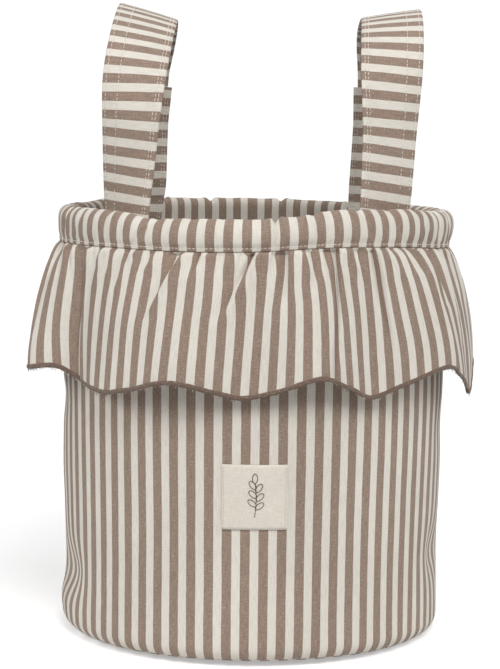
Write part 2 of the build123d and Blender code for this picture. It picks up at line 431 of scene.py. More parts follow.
BROWN = (0.285, 0.208, 0.160, 1.0)
ECRU = (0.735, 0.690, 0.615, 1.0)
BAND_PAINTED_SHADE = (27 * MM, 37 * MM)  # from the band's lower edge, along its section: where painted shade sets in on the band's inner face
striped = striped_cotton("striped_cotton", BROWN, ECRU)
# The band's cloth, with painted shade over its inner face
band_stripes_painted_shade = striped_cotton("striped_cotton_band_painted_shade", BROWN, ECRU, BAND_PAINTED_SHADE)
# The lining is the same striped cloth, with its colours darkened as painted shade for the inside of the bag
lining = striped_cotton("striped_lining_painted_shade", toned(BROWN, 0.84), toned(ECRU, 0.86))
cream_thread = twisted_thread("cream_thread", (0.60, 0.53, 0.45, 1), (0.86, 0.81, 0.73, 1), 0.3)
label_thread = twisted_thread("label_thread", (0.42, 0.37, 0.31, 1), (0.62, 0.57, 0.50, 1), 0.3)
brown_thread = twisted_thread("brown_thread", (0.06, 0.035, 0.022, 1), (0.17, 0.11, 0.08, 1), 0.3)
hem_thread = overlock_edge("hem_overlock", (0.072, 0.045, 0.031, 1), (0.27, 0.187, 0.14, 1))
canvas = plain_cloth("label_canvas", (0.64, 0.59, 0.505, 1), (0.775, 0.73, 0.65, 1), 0.5 * MM)
wadding_white = felted("wadding", (0.70, 0.70, 0.67, 1), (0.88, 0.88, 0.85, 1), 0.8 * MM, 0.8)
loop_cloth = felted("loop_tape", (0.52, 0.47, 0.40, 1), (0.74, 0.69, 0.61, 1), 0.45 * MM, 0.5)
hook_cloth = felted("hook_tape", (0.45, 0.41, 0.35, 1), (0.70, 0.66, 0.59, 1), 0.9 * MM, 0.6)


# ---------------------------------------------------------------- the bucket: wall, base and lining
WALL_COLUMNS = 432
WALL_TAPER, TAPER_LOW, TAPER_RUN = 1.8 * MM, 60 * MM, 130 * MM  # drawn in a little below the middle
TUCK, TUCK_LOW, TUCK_RUN = 2.6 * MM, 236 * MM, 26 * MM          # and under the ruffle's gathers
SETTLE_RUN = 14 * MM          # the waves fade out over this height above the ground
FRONT_LIFT, FRONT_LIFT_RUN = 2.8 * MM, 45 * MM
# Soft dents and puffs: angle, height (mm), turn of the cloth round the bag (degrees), push outwards (mm),
# and their reach in angle and in height (mm)
WALL_DENTS = (
    (-76, 48, 5.2, -2.6, 12, 17), (-85, 20, -2.0, 2.8, 18, 13), (-60, 44, -1.4, -1.2, 5, 20),
    (-84, 168, 1.6, -1.8, 10, 11), (-86, 120, -1.2, 0.8, 12, 22), (78, 62, -5.2, -2.4, 10, 17),
    (86, 26, 1.4, -0.2, 16, 14), (82, 150, -1.6, -1.2, 10, 16), (132, 52, 2.0, -2.4, 12, 18),
    (118, 130, -1.2, -1.2, 14, 22), (170, 40, -1.8, -2.0, 12, 16), (-160, 95, 1.3, -1.6, 14, 20),
    (-128, 46, -2.0, -2.6, 12, 17), (-106, 110, 1.2, -1.2, 12, 24), (150, 160, 1.0, -1.2, 14, 18),
)


def dent(angle, height):
    """Turn and push of the wall's cloth at a point, in radians and metres."""
    turn = push = 0.0
    degrees = math.degrees(angle)
    for place, level, turned, pushed, wide, tall in WALL_DENTS:
        away = ((degrees - place + 180) % 360 - 180) / wide
        if abs(away) < 3:
            share = math.exp(-(away**2) - ((height / MM - level) / tall) ** 2)
            turn += math.radians(turned) * share
            push += pushed * MM * share
    return turn, push


def wall_radius(angle, height):
    """Outside of the wall, with its taper, soft waves and dents."""
    taper = WALL_TAPER * (1 - smooth_step((height - TAPER_LOW) / TAPER_RUN))
    tuck = TUCK * smooth_step((height - TUCK_LOW) / TUCK_RUN)
    waves = 0.8 * MM * round_noise(angle, height * 0.6, 70 * MM, 3.1)
    ripple = 0.22 * MM * round_noise(angle, height * 0.3, 16 * MM, 7.7)
    settle = smooth_step(height / SETTLE_RUN)
    return WALL_RADIUS - taper - tuck + (waves + ripple) * settle + dent(angle, height)[1]


def front_lift(angle, height):
    """The lower edge bows up a little off the ground at the front."""
    return FRONT_LIFT * max(0.0, math.cos(angle)) ** 1.5 * (1 - smooth_step(height / FRONT_LIFT_RUN))


def shell_point(angle, inset, height, turn):
    """A point inset from the outer cloth: up the wall while turn is 0, then round the lower edge."""
    level = height if turn == 0 else CORNER
    radius = wall_radius(angle, level)
    angle += dent(angle, level)[0] * math.cos(turn)
    if turn == 0:
        return polar(radius - inset, angle, height + front_lift(angle, height))
    reach = CORNER - inset
    height = CORNER - reach * math.sin(turn)
    return polar(radius - CORNER + reach * math.cos(turn), angle, height + front_lift(angle, height))


def edge_radius(inset, height):
    """How far out the rounded lower edge reaches at a height, for a layer that is inset."""
    reach, rise = CORNER - inset, CORNER - height
    return CORNER - (math.sqrt(max(0.0, reach**2 - rise**2)) if rise > 0 else reach)


def wall_layer(outer, inner, bottom):
    """A closed layer of the wall, from one inset to another.

    bottom is the seam's turn on the rounded edge for the outer cloth, and a height for the other layers.
    """
    rows_up, rows_round = 64, 7
    low = bottom if outer else CORNER
    run = [(WALL_TOP - (WALL_TOP - low) * i / rows_up, 0.0) for i in range(rows_up + 1)]
    if not outer:
        run += [(0.0, bottom * (i + 1) / rows_round) for i in range(rows_round)]

    def place(angle, inset, height, turn):
        if not outer:
            return shell_point(angle, inset, height, turn)
        drawn_in = max(inset, edge_radius(inset, height))
        return polar(wall_radius(angle, height) - drawn_in, angle, height + front_lift(angle, height))

    angles = column_angles(WALL_COLUMNS)
    points, along = [], []
    for inset, steps in ((outer, run), (inner, run[::-1])):
        for height, turn in steps:
            points.append([place(angle, inset, height, turn) for angle in angles])
            along.append(WALL_TOP - height if turn == 0 else WALL_TOP - CORNER + CORNER * turn)
    along.append(along[0])
    half_round = math.pi * WALL_RADIUS
    around = [-half_round + 2 * half_round * j / WALL_COLUMNS for j in range(WALL_COLUMNS + 1)]
    work = Patchwork()
    work.even_grid(points, around, along, wrap_rows=True, wrap_columns=True)
    return work


def disc_layer(outer, inner, rim_turn):
    """A closed disc of the base. Its stripes run straight across, as the cloth was cut.

    rim_turn is the seam's turn on the rounded edge for the outer cloth, and 0 for the layers inside it.
    """
    rings = [0.0, 0.3, 0.6, 0.85, 0.95, 1.0]
    angles = column_angles(WALL_COLUMNS // 3)

    def flat_row(inset, share, reach):
        row = []
        for angle in angles:
            radius = wall_radius(angle, CORNER) - CORNER
            lift = 0.35 * MM * round_noise(angle, share, 60 * MM, 5.0) * share * (inset != 0)
            lift += front_lift(angle, inset) * share**4
            row.append(polar((radius + reach) * share, angle, inset + lift))
        return row

    def rim_rows(inset, turns):
        return [[shell_point(angle, inset, 0, turn) for angle in angles] for turn in turns]

    if rim_turn:
        turns = [math.pi / 2 - (math.pi / 2 - rim_turn) * (i + 1) / 4 for i in range(4)]
        outer_reach = inner_reach = 0
        rim = rim_rows(outer, turns) + rim_rows(inner, turns[::-1])
    else:
        outer_reach = CORNER - edge_radius(outer, outer + LAYER_GAP)
        inner_reach = CORNER - edge_radius(outer, inner)
        rim = []
    points = [flat_row(outer, share, outer_reach) for share in rings] + rim
    points += [flat_row(inner, share, inner_reach) for share in rings[::-1]]
    u = [[p[0] for p in row] + [row[0][0]] for row in points]
    v = [[p[1] for p in row] + [row[0][1]] for row in points]
    work = Patchwork()
    work.grid(points, u, v, wrap_columns=True)
    return work


WADDING_OUTER = CLOTH + LAYER_GAP
WADDING_INNER = WADDING_OUTER + WADDING
LINING_OUTER = WADDING_INNER + LAYER_GAP
LINING_INNER = LINING_OUTER + LINING
STRIPE_PHASE = -4.4 * MM + STRIPE / 2
# Each layer: its shape, the shift of its stripes, its names, its material and how full it is
LAYERS = (
    (wall_layer, (0, CLOTH, BASE_SEAM), STRIPE_PHASE,
     "wall_cloth", "outer_wall", striped, "striped_cotton", 0.5),
    (disc_layer, (0, CLOTH, BASE_SEAM), 3.4 * MM,
     "base_cloth", "outer_base", striped, "striped_cotton", 0.5),
    (wall_layer, (WADDING_OUTER, WADDING_INNER, WADDING_INNER + LAYER_GAP), STRIPE_PHASE,
     "wall_wadding", "wall_padding", wadding_white, "wadding", 0.6),
    (disc_layer, (WADDING_OUTER, WADDING_INNER, 0), STRIPE_PHASE,
     "base_wadding", "base_padding", wadding_white, "wadding", 0.6),
    (wall_layer, (LINING_OUTER, LINING_INNER, LINING_INNER + LAYER_GAP), 2.2 * MM,
     "lining_cloth", "lining_wall", lining, "lining_cotton", None),
    (disc_layer, (LINING_OUTER, LINING_INNER, 0), 3.0 * MM,
     "lining_floor", "lining_base", lining, "lining_cotton", None),
)
for shape, sizes, phase, name, node, material, slot_name, fill in LAYERS:
    layer_work = shape(*sizes)
    layer_work.shift_stripes(phase)
    piece = bag_piece(layer_work, name, [material], node, merge=shape is disc_layer)


# ---------------------------------------------------------------- rim band
BAND_COLUMNS = 900
BAND_POINTS = 48
BAND_MIDDLE = (-7.0, 10.5)    # the section's middle, out and up, in millimetres
LEFT_DRAW = 2.4               # the band stands in by this much on the left, in millimetres
FILLER_SIZE = 0.78            # the roll of wadding, as a share of the band's section
TOPSTITCH = 2.3 * MM          # height of the row of stitches above the seam
# How far the band's crown and its seam stand above or below their level, round the bag, in millimetres
BAND_TOP = (
    (-180, 0.3), (-160, 0.6), (-130, 1.5), (-108, 0.4), (-90, 0.9), (-72, 1.8), (-54, 2.4), (-46, 2.6),
    (-38.4, 1.4), (-32.9, -1.4), (-27.8, -1.0), (-14, 0.0), (0, 0.0), (4, 0.3), (8, 1.5), (13.3, 2.1),
    (21.5, 5.6), (28.8, 6.1), (39.4, 5.5), (52.6, 4.0), (64.6, 1.6), (78, 0.5), (90, -0.4), (120, -0.8),
    (150, -1.0),
)
SEAM_RISE = (
    (-170, 0.5), (-130, 0.6), (-90, -1.1), (-42, 0.4), (-20, 0.2), (0, 1.1), (21, 3.5), (45, 2.0),
    (69, -1.8), (90, -3.2), (125, -1.0), (150, 0.4),
)
# The band's section: how far each point is out from the rim's outermost line and above the seam, in
# millimetres, where the bag faces the front or back and where it faces the sides. From the lower outer
# edge up over the crown and down the inside.
BAND_FRONT = (
    (-2.3, 0.0), (-1.2, 1.0), (-1.1, 2.6), (0.2, 5.5), (0.4, 9.0), (-0.7, 13.5), (-3.4, 18.0), (-7.4, 21.2),
    (-10.6, 21.4), (-13.2, 19.2), (-14.2, 15.0), (-14.1, 9.0), (-14.0, 4.0), (-13.0, 0.4), (-8.0, 0.0),
)
BAND_SIDE = (
    (-2.3, 0.0), (-1.3, 1.0), (-1.3, 2.6), (-0.3, 5.5), (0.6, 9.5), (1.2, 14.0), (0.2, 18.6), (-3.6, 21.8),
    (-8.2, 21.8), (-12.2, 19.6), (-14.0, 15.0), (-14.1, 9.0), (-14.0, 4.0), (-13.0, 0.4), (-8.0, 0.0),
)
# Puckers: angle at the crown, angle at the seam, depth and width in millimetres
BAND_PUCKERS = (
    (6.0, 5.2, 3.4, 4.0), (-29, -36, 1.5, 5), (-70, -73, 3.0, 6), (-83, -84, 2.4, 5), (-58, -63, 1.4, 5),
    (-46, -50, 1.2, 5), (-18, -20, 0.7, 7), (-9, -9, 0.5, 6), (17, 18.5, 1.3, 5), (31, 35, 1.4, 5),
    (42, 46, 1.0, 5), (53, 59, 1.6, 5), (64, 66, 2.4, 5), (74, 78, 2.0, 5), (84, 86, 1.8, 5),
    (104, 102, 2.2, 6), (127, 125, 2.0, 6), (146, 148, 2.6, 5), (171, 170, 2.2, 5), (-165, -163, 2.4, 5),
    (-148, -150, 2.0, 5), (-124, -122, 2.6, 6), (-101, -103, 2.2, 6),
)


def pucker(angle, share):
    """Depth of the band's puckers at an angle; share runs from 0 at the seam to 1 at the crown."""
    total = 0.0
    for crown, seam, deep, wide in BAND_PUCKERS:
        place = math.radians(seam + (crown - seam) * share)
        away = wrapped(angle - place) * RIM_RADIUS / (wide * 0.5 * MM)
        if abs(away) < 4:
            total += deep * MM * (math.exp(-abs(away) ** 1.4) - 0.28 * math.exp(-((abs(away) - 1.9) ** 2)))
    return total


def closed_spline(keys, count):
    """Points evenly spread over a smooth closed curve through keys."""
    made = []
    total = len(keys)
    for i in range(count):
        place = i * total / count
        k, t = int(place), place % 1
        a, b, c, d = (np.array(keys[(k + n) % total]) for n in (-1, 0, 1, 2))
        curve = c - a + t * (2 * a - 5 * b + 4 * c - d + t * (3 * (b - c) + d - a))
        made.append(tuple(b + 0.5 * t * curve))
    return made


SECTION_FRONT, SECTION_SIDE = (closed_spline(keys, BAND_POINTS) for keys in (BAND_FRONT, BAND_SIDE))
CROWN_HEIGHT = max(z for _, z in SECTION_FRONT)


def band_section(angle, shrink=1.0):
    """The band's closed section at an angle, as (radius, height); shrink draws it in for the wadding."""
    degrees = math.degrees(angle)
    top = RIM_TOP + float(round_spline(BAND_TOP, degrees)) * MM
    bottom = SEAM_HEIGHT + float(round_spline(SEAM_RISE, degrees)) * MM
    side = math.sin(angle) ** 2
    puff = 0.9 * MM * round_noise(angle, 0.0, 30 * MM, 11.0)
    puff += 0.5 * MM * round_noise(angle, 0.0, 11 * MM, 4.0)
    section = []
    for (front_out, front_up), (side_out, side_up) in zip(SECTION_FRONT, SECTION_SIDE):
        up = front_up + (side_up - front_up) * side
        drawn = LEFT_DRAW * max(0.0, -math.sin(angle)) ** 3 * (0.15 + 0.85 * smooth_step(up / 14))
        out = front_out + (side_out - front_out) * side - drawn
        out = BAND_MIDDLE[0] + (out - BAND_MIDDLE[0]) * shrink
        up = BAND_MIDDLE[1] + (up - BAND_MIDDLE[1]) * shrink
        share = min(1.0, max(0.0, up / CROWN_HEIGHT))
        swell = smooth_step((share - 0.12) / 0.3)
        pinch = pucker(angle, share) * smooth_step((share - 0.05) / 0.3)
        outer = smooth_step((out + 12) / 8)
        wrinkle = 0.45 * MM * round_noise(angle + 0.05 * share, share * 4 * MM, 6.5 * MM, 40.0) * swell
        radius = RIM_RADIUS + out * MM + (puff * swell + wrinkle - 0.6 * pinch) * outer
        height = bottom + up / CROWN_HEIGHT * (top - bottom) - pinch * share**3 + 0.6 * puff * share**4
        section.append((radius, height))
    return section


def band_layer(shrink=1.0):
    """The band's closed tube, or the wadding in it."""
    angles = column_angles(BAND_COLUMNS)
    sections = [band_section(angle, shrink) for angle in angles]
    along = [0.0]
    for k in range(BAND_POINTS):
        along.append(along[-1] + math.dist(sections[0][k], sections[0][(k + 1) % BAND_POINTS]))
    rows = [
        [polar(section[k][0], angle, section[k][1]) for section, angle in zip(sections, angles)]
        for k in range(BAND_POINTS)
    ]
    around = [RIM_RADIUS * (2 * math.pi * j / BAND_COLUMNS - math.pi) for j in range(BAND_COLUMNS + 1)]
    work = Patchwork()
    work.even_grid(rows, around, along, wrap_rows=True, wrap_columns=True)
    return work


def band_outside(angle, height):
    """A point on the band's outer face at a height above the seam, and its outward normal."""
    section = band_section(angle)
    bottom = section[0][1]
    k = next(i for i in range(BAND_POINTS) if section[i + 1][1] - bottom > height)
    (r0, z0), (r1, z1) = section[k], section[k + 1]
    f = (height + bottom - z0) / (z1 - z0)
    size = math.hypot(z1 - z0, r0 - r1)
    point = Vector(polar(r0 + (r1 - r0) * f, angle, z0 + (z1 - z0) * f))
    return point, Vector(polar((z1 - z0) / size, angle, (r0 - r1) / size))


band_work = band_layer()
band_work.shift_stripes(1.4 * MM)
stitches = int(2 * math.pi * RIM_RADIUS / STITCH)
for k in range(stitches):
    start, normal = band_outside(2 * math.pi * k / stitches, TOPSTITCH)
    end, _ = band_outside(2 * math.pi * (k + STITCH_SEEN) / stitches, TOPSTITCH)
    band_work.stitch(start, end, normal)
band = bag_piece(band_work, "rim_band_cloth", [band_stripes_painted_shade, cream_thread], "rim_band")

filler = bag_piece(band_layer(FILLER_SIZE), "rim_wadding", [wadding_white], "rim_filler")


# ---------------------------------------------------------------- ruffle
RUFFLE_COLUMNS = 1440
RUFFLE_ROWS = 52
RUFFLE_DROP = WALL_TOP - HEM_LOW
SEAM_RADIUS = RIM_RADIUS - 2.6 * MM
# The hem's waves: angle at the seam, angle of the hem below it, the hem's lift and its distance from the
# axis, in millimetres
HEM_WAVES = (
    (-180, -180, 12, 158), (-161, -161, -1, 147), (-142, -142, 12, 159), (-124, -124, 0, 148),
    (-110, -107, 10, 158), (-97, -86, 5, 150), (-88, -74, 8, 160), (-79, -66.0, 10.5, 170),
    (-66, -59.5, 12.5, 157), (-54, -54.2, 3.5, 144.5), (-45.5, -46.8, 1, 149), (-37, -40.2, 0, 153),
    (-31, -32, 4.0, 155), (-17.5, -20.3, 11, 159), (-8.6, -10, 5.0, 151), (0.5, -3, 0.8, 145.5),
    (9, 6.8, 6, 149.5), (16, 16.6, 14.8, 158), (23, 25, 7, 152), (30, 32.5, -0.8, 147),
    (38, 41.5, 6, 152.5), (46.5, 54.5, 16, 162), (56, 62, 9, 161), (64.5, 70.5, -2, 158),
    (73, 75.5, -8, 158), (84, 83, 1, 157), (97, 97, 10, 160), (116, 116, -1, 148), (137, 137, 12, 159),
    (158, 158, 0, 147),
)
# Creases that start in the gathers: angle at the seam, angle where it ends, how far down it
# runs as a share of the drop, depth in millimetres, and the side that the cloth folds over to
RUFFLE_CREASES = (
    (-88, -84, 0.50, 3.4, 1), (-76, -70, 0.75, 3.4, 1), (-65, -60, 0.40, 3.4, 1),
    (-53.7, -54.5, 1.00, 6.0, -1), (-47, -50, 0.30, 2.6, -1), (-41.5, -44, 0.20, 2.2, -1),
    (-36, -40, 0.32, 2.6, -1), (-28, -31, 0.18, 2.2, -1), (-20, -28.5, 0.52, 5.2, -1),
    (-14.2, -16.5, 0.22, 2.8, -1), (-7.5, -8.5, 0.15, 2.0, -1), (0.7, -9.0, 0.50, 5.4, -1),
    (4.5, 4.2, 0.16, 2.2, 1), (9.4, 8.8, 0.40, 5.4, -1), (13.6, 15.4, 0.26, 3.4, 1),
    (18.8, 19.4, 0.16, 2.2, 1), (23.6, 20.4, 1.00, 6.6, -1), (28, 29.6, 0.24, 2.6, 1),
    (35, 38.5, 0.70, 6.0, -1), (40.5, 42.5, 0.24, 2.6, 1), (45.6, 47.5, 0.22, 3.0, 1),
    (51.2, 60.5, 1.00, 6.4, 1), (57.5, 60.0, 0.46, 5.4, 1), (65, 70, 0.70, 4.0, 1), (73, 77, 0.40, 3.6, -1),
    (82, 85, 0.66, 3.6, 1), (93, 94, 0.30, 3.0, -1), (103, 107, 0.55, 4.2, 1), (113, 114, 0.24, 3.0, -1),
    (124, 128, 0.50, 4.4, 1), (134, 134, 0.22, 3.0, -1), (146, 150, 0.80, 4.4, 1), (156, 156, 0.24, 3.2, 1),
    (166, 169, 0.44, 4.0, -1), (175, 175, 0.20, 2.8, 1), (184, 187, 0.70, 4.6, 1),
    (193, 192, 0.22, 3.2, -1), (202, 205, 0.50, 4.2, 1), (212, 211, 0.26, 3.4, -1),
    (222, 219, 0.80, 4.4, -1), (231, 230, 0.24, 3.2, 1), (240, 237, 0.48, 4.2, -1),
    (250, 248, 0.28, 3.4, 1), (260, 256, 0.60, 4.2, -1),
)
BILLOW = 2.6 * MM             # height of the small puffs between the gathers
FLARE = 2.4 * MM              # the cloth stands out by this much just under the band
WALL_CLEARANCE = 1.3 * MM
CREASE_TAKE_UP = 0.85         # cloth hidden in a crease, for its depth
CREASE_WIDTH = 0.5 * MM       # distance over which it is hidden
EASING = 5.0                  # degrees over which the cloth between two creases evens out


def creases(down):
    """The creases that reach a row of the ruffle: each one's angle, depth and side there."""
    for start, end, reach, deep, side in RUFFLE_CREASES:
        share = down / reach
        if share < 1:
            fade = (1 - share) ** 0.6 if reach < 1 else 1 - 0.55 * share
            yield math.radians(start + (end - start) * share), deep * MM * fade, side


def soft_edge(distance):
    """Rises from 0 to 1 over a few units of distance."""
    return 1 / (1 + np.exp(np.clip(-distance, -50, 50)))


def crease_relief(angles, down):
    """Relief of the gathers along a row of the ruffle: each crease drops sharply on one side."""
    relief = np.zeros_like(angles)
    for middle, deep, side in creases(down):
        away = wrapped(angles - middle) * SEAM_RADIUS * side
        strength = deep * smooth_step(down / 0.03)
        edge = soft_edge(away / (0.35 * MM))
        behind = -np.exp(-np.maximum(0, away) / (5.5 * MM)) * edge
        lip = 0.55 * np.exp(np.minimum(0, away) / (6.0 * MM)) * (1 - edge)
        relief += strength * (behind + lip)
    return relief


def hem_shift(degrees, n):
    """What column n of HEM_WAVES says at the seam's angles; column 1 as a turn from the seam's angle."""
    return round_spline([(key[0], key[n] - (key[0] if n == 1 else 0)) for key in HEM_WAVES], degrees)


def fallen_angles(seam, down):
    """Angle of each column a share of the way down, from its angle at the seam."""
    return seam + np.radians(hem_shift(np.degrees(seam), 1)) * down**0.85


def ruffle_row(seam, down):
    """A row of the ruffle's points; seam holds each column's angle, and down runs from 0 to 1 at the hem."""
    degrees = np.degrees(seam)
    hem_lift, hem_radius = hem_shift(degrees, 2), hem_shift(degrees, 3)
    angles = fallen_angles(seam, down)
    top = WALL_TOP + round_spline(SEAM_RISE, degrees) * MM
    low = HEM_LOW + hem_lift * MM
    puffed = SEAM_RADIUS + FLARE * (1 - math.exp(-down / 0.035))
    spread = 1.9 - 0.55 * np.exp(-(((degrees + 80) / 16) ** 2))
    radius = puffed + (hem_radius * MM - SEAM_RADIUS - FLARE) * (1 - (1 - down) ** spread)

    def grain(drift, size, seed):
        return np.array([round_noise(a, down * drift * MM, size * MM, seed) for a in seam])

    small, large = abs(grain(16, 8.5, 21.0)), abs(grain(9, 19, 51.0))
    radius += BILLOW * (small * 2.4 - 0.6) * math.exp(-down / 0.14) * smooth_step(down / 0.02)
    radius += BILLOW * (large * 2.2 - 0.6) * math.exp(-down / 0.5) * smooth_step(down / 0.08)
    radius += 1.3 * MM * grain(70, 30, 15.0) * smooth_step(down / 0.3)
    radius += crease_relief(angles, down)
    height = top + (low - top) * down**1.04
    wall_out = np.array([wall_radius(a, WALL_TOP - RUFFLE_DROP * down) for a in seam]) + WALL_CLEARANCE
    radius = wall_out + np.logaddexp(0, (radius - wall_out) / (0.5 * MM)) * 0.5 * MM
    return np.stack([radius * np.sin(angles), -radius * np.cos(angles), height], axis=1)


def run_lengths(row):
    """Length from the first point of a closed row to each point, and once round."""
    return np.concatenate([[0.0], np.cumsum(np.linalg.norm(np.roll(row, -1, axis=0) - row, axis=1))])


def cloth_run(row, down):
    """Cloth from the back seam to each column along a row, with what its creases take up."""
    down = min(down, 1.0 - 1e-9)  # the creases that reach the hem still count there
    angles = fallen_angles(seam_angles, down)
    angles = np.append(angles, angles[0] + 2 * np.pi)
    run = run_lengths(row)
    for middle, deep, _ in creases(down):
        run += CREASE_TAKE_UP * deep * soft_edge((angles - wrapped(middle)) * SEAM_RADIUS / CREASE_WIDTH)
    return run


def blur_round(values, degrees):
    """Gaussian blur of one value per column, round the bag."""
    waves = np.fft.rfftfreq(len(values), 1 / len(values))
    kept = np.exp(-0.5 * (waves * math.radians(degrees)) ** 2)
    return np.fft.irfft(np.fft.rfft(values) * kept, len(values))


seam_angles = np.array(column_angles(RUFFLE_COLUMNS))
row_places = [(i / (RUFFLE_ROWS - 1)) ** 1.25 for i in range(RUFFLE_ROWS)]
ruffle_rows = [ruffle_row(seam_angles, down) for down in row_places]
hem_run = cloth_run(ruffle_rows[-1], 1.0)
hem_run -= hem_run[RUFFLE_COLUMNS // 2]
u_rows, v_rows = [], []
for down, row in zip(row_places, ruffle_rows):
    run = cloth_run(row, down)
    gap = hem_run - run
    ramp = gap[0] + (gap[-1] - gap[0]) * np.arange(RUFFLE_COLUMNS + 1) / RUFFLE_COLUMNS
    drawn = blur_round((gap - ramp)[:-1], EASING)
    u_rows.append(list(run + ramp + np.append(drawn, drawn[0])))
    v_rows.append([RUFFLE_DROP * down] * (RUFFLE_COLUMNS + 1))
ruffle_work = Patchwork()
ruffle_work.grid([[tuple(p) for p in row] for row in ruffle_rows], u_rows, v_rows, wrap_columns=True)
ruffle_work.shift_stripes(3.0 * MM)
ruffle = bag_piece(ruffle_work, "ruffle_cloth", [striped], "ruffle")
thickness = ruffle.modifiers.new("cloth thickness", "SOLIDIFY")
thickness.thickness = 0.7 * MM
thickness.offset = 0

# The hem's overlocked edge, a flat roll of thread along the cloth's lower edge
HEM_RING = 10
FRAYS = 600                   # loose thread ends under the hem
HEM_TALL = 3.5 * MM
HEM_THICK = 2.3 * MM


def hem_axes(j):
    """The cloth's edge at a column, and the ways it falls, runs on and faces there."""
    hem_row = ruffle_rows[-1]
    edge = Vector(hem_row[j])
    fall = (edge - Vector(ruffle_rows[-3][j])).normalized()
    ahead = Vector(hem_row[(j + 1) % RUFFLE_COLUMNS]) - Vector(hem_row[j - 1])
    return edge, fall, ahead, ahead.cross(fall).normalized()


hem_lengths = run_lengths(ruffle_rows[-1])
hem_rings = [[] for _ in range(HEM_RING)]
for j, angle in enumerate(seam_angles):
    edge, fall, ahead, out = hem_axes(j)
    if out.dot(Vector(polar(1.0, angle, 0))) < 0:
        out = -out
    centre = edge - fall * 0.7 * MM
    fat = 1 + 0.16 * round_noise(angle, 0.0, 3.0 * MM, 31.0)
    for k in range(HEM_RING):
        turn = 2 * math.pi * k / HEM_RING
        offset = fall * math.cos(turn) * HEM_TALL / 2 + out * math.sin(turn) * HEM_THICK / 2
        hem_rings[k].append(tuple(centre + offset * fat))
hem_work = Patchwork()
ring_length = math.pi * (HEM_TALL + HEM_THICK) / 2
hem_round = [ring_length * k / HEM_RING for k in range(HEM_RING + 1)]
hem_work.even_grid(hem_rings, list(hem_lengths), hem_round, wrap_rows=True, wrap_columns=True)
draw = random.Random(7)
for _ in range(FRAYS):
    j = draw.randrange(RUFFLE_COLUMNS)
    edge, fall, ahead, out = hem_axes(j)
    start = edge + fall * 0.4 * MM + out * draw.uniform(-0.8, 0.8) * MM
    tip = start + fall * draw.uniform(1.2, 2.8) * MM + ahead.normalized() * draw.uniform(-1.8, 1.8) * MM
    hem_work.stitch(start, tip, out, draw.choice((0, 1)), draw.uniform(0.09, 0.16) * MM)
hem_materials = [hem_thread, cream_thread]
hem = bag_piece(hem_work, "ruffle_hem_overlock", hem_materials, "ruffle_hem")


# ---------------------------------------------------------------- label
LABEL_STEPS = 22
LABEL_THICKNESS = 0.8 * MM
LABEL_SHIFT = 1.8 * MM        # it is sewn a little off centre
LABEL_WIDTH = (LABEL_HIGH.x - LABEL_LOW.x) * 1.015
LABEL_HEIGHT = LABEL_HIGH.z - LABEL_LOW.z
LABEL_MIDDLE = (LABEL_HIGH.z + LABEL_LOW.z) / 2
LABEL_STITCHES = 20
LABEL_SEAMS = (-0.93, 0.93)   # where its two rows of stitches are, across
LABEL_SEAM_RUN = 1.88         # and how long they are, up; both as label_point counts


def label_point(across, up, lift):
    """A point over the wall at the label: across and up run from -1 to 1."""
    height = LABEL_MIDDLE + up * LABEL_HEIGHT / 2
    angle = (LABEL_SHIFT + across * LABEL_WIDTH / 2) / WALL_RADIUS
    edge = max(abs(across), abs(up))
    puff = 0.5 * MM * (1 - edge**4)
    return polar(wall_radius(angle, height) + 0.15 * MM + lift + puff, angle, height)


def label_face(work, lift):
    """One face of the label, added to work."""
    steps = [2 * k / (LABEL_STEPS - 1) - 1 for k in range(LABEL_STEPS)]
    flat = [LABEL_WIDTH * k / (LABEL_STEPS - 1) for k in range(LABEL_STEPS)]
    face = [[label_point(across, -up, lift) for across in steps] for up in steps]
    work.even_grid(face, flat, flat)
    return face


def border(face):
    """The points round a square face, in order."""
    last = LABEL_STEPS - 1
    line = [face[0][k] for k in range(last)] + [face[k][last] for k in range(last)]
    return line + [face[last][last - k] for k in range(last)] + [face[last - k][0] for k in range(last)]


label_work = Patchwork()
label_edges = [border(label_face(label_work, lift)) for lift in (LABEL_THICKNESS, 0.0)]
edge_u = [0.5 * MM * k for k in range(4 * LABEL_STEPS - 3)]
label_work.even_grid(label_edges, edge_u, (0, MM), wrap_columns=True)


def embroider(line, radius=0.3 * MM, slot=2):
    """Back stitches through points of the label, given as (across, up)."""
    for (a, b), (c, d) in zip(line, line[1:]):
        start, end = label_point(a, b, LABEL_THICKNESS), label_point(c, d, LABEL_THICKNESS)
        normal = Vector(polar(1.0, (LABEL_SHIFT + a * LABEL_WIDTH / 2) / WALL_RADIUS, 0))
        label_work.stitch(start, end, normal, slot, radius)


for across in LABEL_SEAMS:
    for k in range(LABEL_STITCHES):
        low = LABEL_SEAM_RUN * (k / LABEL_STITCHES - 0.5)
        high = low + LABEL_SEAM_RUN * 0.6 / LABEL_STITCHES
        embroider([(across, low), (across, high)], 0.22 * MM, 1)


def leaf(root, lean, length):
    """The outline of a leaf that grows from a point of the sprig."""
    turns = [math.pi * k / 8 for k in range(9)]
    one_side = [((1 - math.cos(t)) / 2 * length, math.sin(t) * length * 0.26) for t in turns]
    outline = one_side + [(a, -o) for a, o in one_side[-2::-1]]
    c, s = math.cos(lean), math.sin(lean)
    return [(root[0] + a * s + o * c, root[1] + a * c - o * s) for a, o in outline]


stem = [(0.05 * math.sin(3 * t), -0.62 + 1.05 * t) for t in [k / 12 for k in range(13)]]
embroider(stem)
for k, lean in ((3, 0.9), (4, -0.9), (6, 0.8), (7, -0.8), (9, 0.65), (10, -0.65), (12, 0.0)):
    embroider(leaf(stem[k], lean, 0.30))

label_materials = [canvas, label_thread, brown_thread]
label = bag_piece(label_work, "label_patch", label_materials, "label", merge=True)


